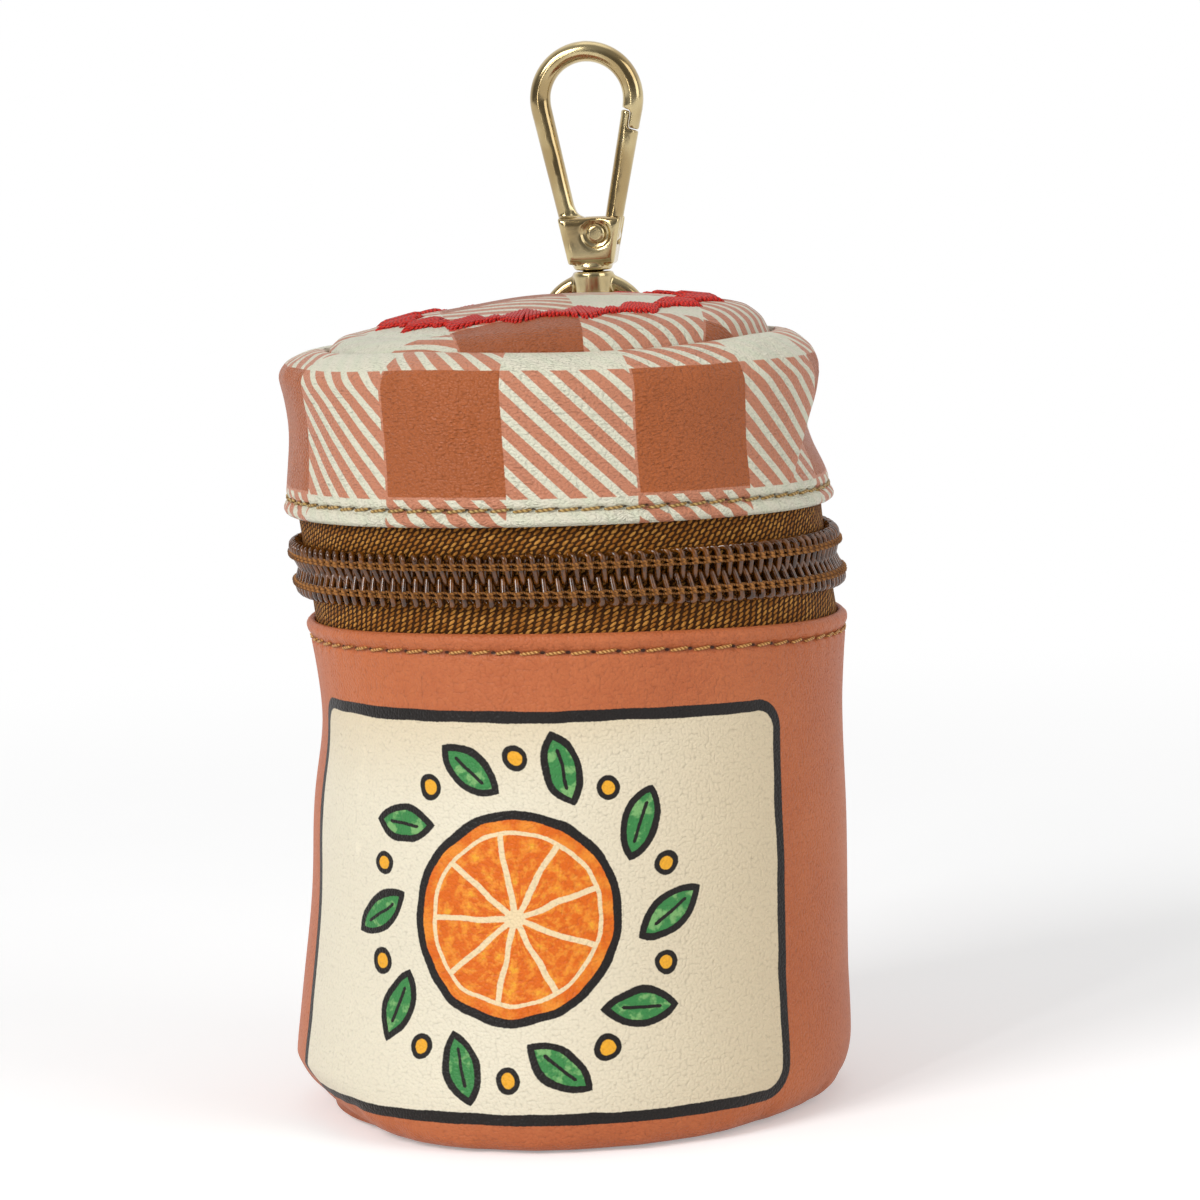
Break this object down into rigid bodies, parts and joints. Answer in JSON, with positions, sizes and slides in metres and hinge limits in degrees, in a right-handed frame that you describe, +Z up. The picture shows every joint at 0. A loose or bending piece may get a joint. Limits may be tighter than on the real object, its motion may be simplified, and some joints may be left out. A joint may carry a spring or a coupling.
{
  "type": "jar-shaped zip pouch with a swivel clasp",
  "caption": "Small round faux-leather pouch shaped like a jam jar with a cloth cover: printed label on the body, coil zip round the neck, padded gingham lid and a gold swivel snap hook.",
  "frame": {"origin": "centre of the flat base that the pouch stands on", "axes": "+Z up through the lid and the clasp, -Y towards the printed label, +X to its right"},
  "size_m": [0.0622, 0.0689, 0.119],
  "materials": {
    "terracotta_leather": "soft grained faux leather",
    "gingham_leather": "faux leather printed with terracotta and cream checks",
    "coil_brown": "glossy nylon coil",
    "tape_brown": "woven herringbone zip tape",
    "thread_tan": "waxed sewing thread",
    "thread_olive": "waxed sewing thread",
    "thread_red": "satin-stitched embroidery thread",
    "pale_gold": "polished pale gold plating"
  },
  "bodies": {
    "pouch": {"base_panel": "terracotta_leather", "body_wall": "terracotta_leather", "zip_tape_lower": "tape_brown", "zip_tape_upper": "tape_brown", "zip_coil_lower": "coil_brown", "zip_coil_upper": "coil_brown", "lid_band": "gingham_leather", "lid_top": "gingham_leather", "lid_border": "thread_red", "back_strip": "terracotta_leather", "clasp_tab": "terracotta_leather", "zip_slider": "pale_gold"},
    "eye": {"clasp_eye": "pale_gold"},
    "hook": {"clasp_hook": "pale_gold", "gate_rivet": "pale_gold"},
    "gate": {"clasp_gate": "pale_gold"},
    "pull": {"zip_pull": "pale_gold"}
  },
  "joints": [
    {"name": "eye_tilt", "type": "hinge", "parent": "pouch", "child": "eye", "pos_m": [0, 0.0328, 0.083], "axis": [-1, 0, 0], "range_deg": [-35, 130]},
    {"name": "hook_swivel", "type": "hinge", "parent": "eye", "child": "hook", "pos_m": [0, 0.0328, 0.09], "axis": [0, 0, 1], "continuous": true},
    {"name": "gate_hinge", "type": "hinge", "parent": "hook", "child": "gate", "pos_m": [0.0008, 0.0328, 0.09632], "axis": [0, -1, 0], "range_deg": [0, 24], "stiffness_Nm_per_rad": 0.004, "springref_deg": -14.32},
    {"name": "pull_swing", "type": "hinge", "parent": "pouch", "child": "pull", "pos_m": [0.01765, 0.02824, 0.0615], "axis": [0, 0, -1], "range_deg": [0, 170]}
  ]
}
